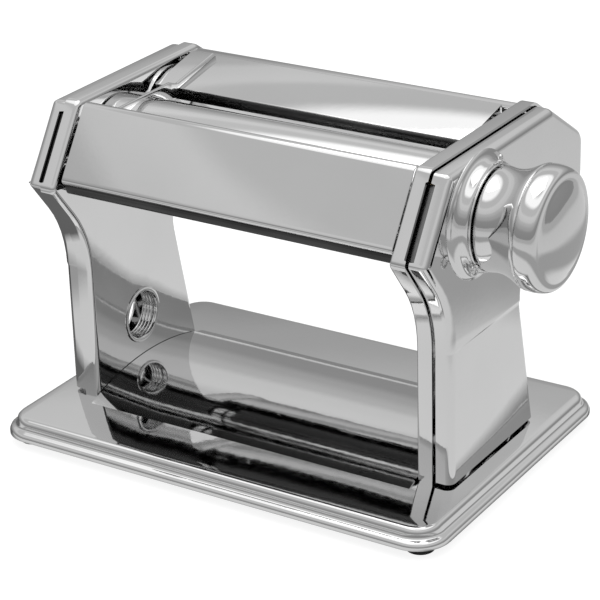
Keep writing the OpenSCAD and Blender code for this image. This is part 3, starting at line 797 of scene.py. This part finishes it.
def make_rollers():
    for name, node, y, body in (
        ("front_roller_tube", "front_roller", FRONT_Y, "front_roller_body"),
        ("rear_roller_tube", "rear_roller", REAR_Y, "rear_roller_body"),
    ):
        h, r = ROLLER_HALF, ROLLER_R
        piece = turned(name, [
            (r - 2.5, -h), (r - 0.5, -h), (r - 0.15, -h + 0.15), (r, -h + 0.5), (r, 0), (r, h - 0.5),
            (r - 0.15, h - 0.15), (r - 0.5, h), (r - 2.5, h), (r - 2.5, -h)
        ], (y, AXIS_Z), steps=128)
        smooth(piece, 30)
        settle(piece, "roller_steel", body, node)


def make_clamp_eyelet():
    r = CLAMP_R
    profile = [(r + 2.2, PANEL_X), (r + 2.2, PANEL_X - 0.2), (r + 1.6, PANEL_X - 0.5),
               (r + 0.6, PANEL_X - 0.5), (r + 0.1, PANEL_X), (r, PANEL_X + 0.5), (r + 0.3, PANEL_X + 1.1)]
    for i in range(4):
        x = PANEL_X + 1.6 + i * 1.6
        profile += [(r + 0.05, x), (r, x + 0.4), (r + 0.05, x + 0.8), (r + 0.4, x + 1.1)]
    profile += [(r + 1, x + 1.1), (r + 1, PANEL_X), (r + 2.2, PANEL_X)]
    piece = turned("clamp_sleeve_rings", [(radius, -x) for radius, x in profile], CLAMP_AT, steps=64)
    smooth(piece, 60)
    settle(piece, "polished_sheet", "machine_body", "clamp_eyelets")


# tongues under the covers: (y, z, direction in degrees of the tongue's outward normal)
TONGUE_X = 85.2
TONGUE_SIZE = (5.0, 1.2, 10)
CLIPS = [(7, 139.4, 90), (66.4, 125.8, 56.7), (-33.6, 45, 180), (74.5, 112.5, 0)]


def make_cover_clips():
    """The small tongues at the covers' flanges. The back one stands 0.6 mm through its flange."""
    for side, word in ((-1, "left"), (1, "right")):
        tongues = []
        for y, z, angle in CLIPS:
            bpy.ops.mesh.primitive_cube_add(
                size=1, location=(side * TONGUE_X * MM, y * MM, z * MM), rotation=(math.radians(angle), 0, 0)
            )
            tongue = bpy.context.object
            tongue.scale = [size * MM for size in TONGUE_SIZE]
            tongues.append(tongue)
        bpy.ops.object.select_all(action="DESELECT")
        for tongue in tongues:
            tongue.select_set(True)
        bpy.context.view_layer.objects.active = tongues[0]
        bpy.ops.object.transform_apply(location=True, rotation=True, scale=True)
        bpy.ops.object.join()
        piece = bpy.context.object
        piece.name = word + "_cover_tongues"
        settle(piece, "plain_steel", "machine_body", word + "_cover_clips")


GUIDE_X = 80.9
GUIDE_WIDTH = 5.2


def make_cutter_rails():
    """The two channels beside the head that hold a cutter: guides deep in the slanted front, darkened with
    painted shade, the left one near black and the right one dark grey.
    """
    inward = Vector((SLANT.y, -SLANT.x))
    for side, word in ((-1, "left"), (1, "right")):
        places = ((3.2, 4.6), (3.2, 2.9), (32.8, 2.9), (32.8, 4.6))
        corners = [tuple(SLANT_FOOT + SLANT * s + inward * d) for s, d in places]
        piece = draw_profile(word + "_cutter_guide", side_points(corners, side * GUIDE_X), closed=True)
        bpy.ops.mesh.extrude_region_move(TRANSFORM_OT_translate={"value": (side * GUIDE_WIDTH * MM, 0, 0)})
        close_up(piece)
        object_mode()
        modifier(
            piece, "BEVEL", width=0.5 * MM, segments=4, limit_method="ANGLE", angle_limit=math.radians(50)
        )
        smooth(piece, 40)
        # painted shade: the left guide gets the near-black finish and the right one plain dark steel, for the
        # deeper shade in the left channel
        settle(piece, "dark_steel" if side < 0 else "plain_steel", "machine_body", "cutter_rails")


def make_dough_guide():
    top = [(-33.4, 136.6, 0), (-31, 140.2, 1.5), (4, 140.2, 4), (9, 138.3, 3), (36, 143.3, 0.5),
           (37, 142.02, 0), (10.2, 136.26, 1), (8.6, 134, 1), (5.5, 128.5, 1), (0, 128.5, 1), (-33, 128, 0.4)]
    line = [(p[0], p[1]) for p in loop_through(top)]
    piece = draw_profile("dough_guide_plate", side_points(line, -61.6), closed=True)
    bpy.ops.mesh.extrude_region_move(TRANSFORM_OT_translate={"value": (1.2 * MM, 0, 0)})
    close_up(piece)
    object_mode()
    for y in (FRONT_Y, FRONT_Y - 1.3, FRONT_Y - 2.6, REAR_Y):
        bore(piece, (y, AXIS_Z), ROLLER_R + 0.6, -66, -56)
    modifier(piece, "BEVEL", width=0.3 * MM, segments=2, limit_method="ANGLE", angle_limit=math.radians(50))
    smooth(piece, 40)
    settle(piece, "polished_sheet", "machine_body", "dough_guide")


# ---- put together --------------------------------------------------------------

place_camera()
light_room()
lay_floor()
soft_light("ceiling_panel", (-0.1, 0.1, 1.5), (0, 0, 0.1), (0.9, 0.9), 4)
bpy.context.scene.view_settings.view_transform = "Standard"

for entry in frame["record"]["subparts"]:
    dress(frame["nodes"][entry["node"]], entry["material_slot"])

make_base()
make_bridge()
for side, word in ((-1, "left"), (1, "right")):
    make_side_frame(side, word + "_frame_pressing", word + "_side_frame")
    make_side_cover(side, word + "_cover_pressing", word + "_cover")
make_clamp_eyelet()
make_front_cover()
make_under_strip()
make_rear_sheets()
make_cutter_rails()
make_dough_guide()
make_rollers()
make_dial()
make_wire_clip()
make_cover_clips()
